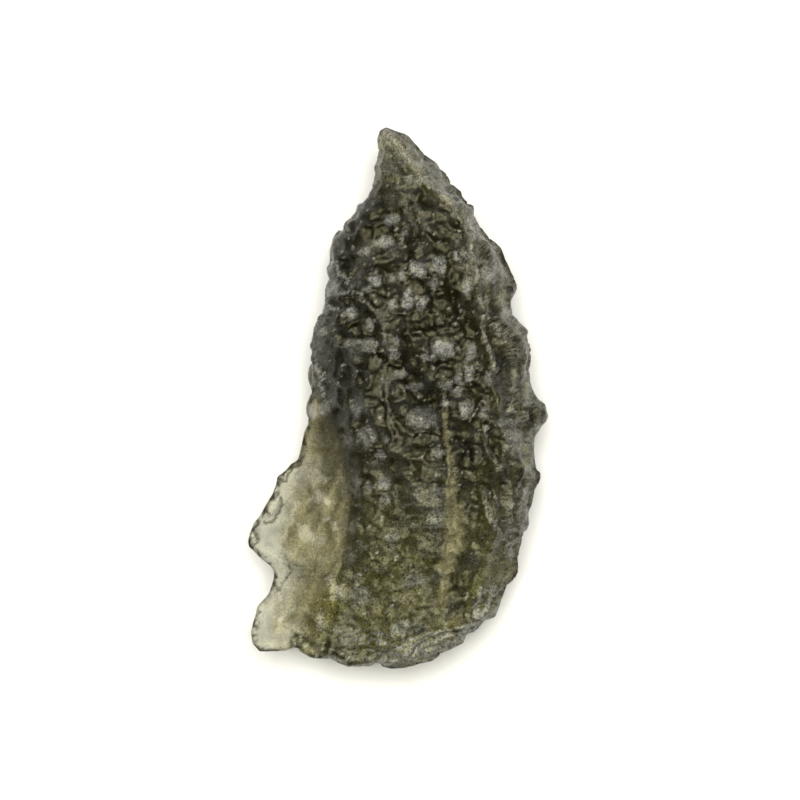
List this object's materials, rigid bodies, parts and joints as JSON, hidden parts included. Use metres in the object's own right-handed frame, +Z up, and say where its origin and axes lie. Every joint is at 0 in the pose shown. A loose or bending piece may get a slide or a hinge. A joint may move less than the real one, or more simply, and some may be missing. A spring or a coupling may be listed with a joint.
{
  "type": "moldavite",
  "caption": "Etched olive-green natural glass stone: a tapering, deeply pitted shard with a fluted right flank and a thin clear flake at the lower left, lying on a small flat spot.",
  "frame": {"origin": "under the middle of the box, on the surface that the stone rests on", "axes": "+Y from the blunt foot to the pointed tip, +X to the fluted flank, +Z up to the pitted face of the picture"},
  "size_m": [0.0166, 0.03, 0.009],
  "materials": {
    "tektite_glass": "etched, clear olive-green natural glass"
  },
  "bodies": {
    "root": {"moldavite": "tektite_glass"}
  },
  "joints": []
}
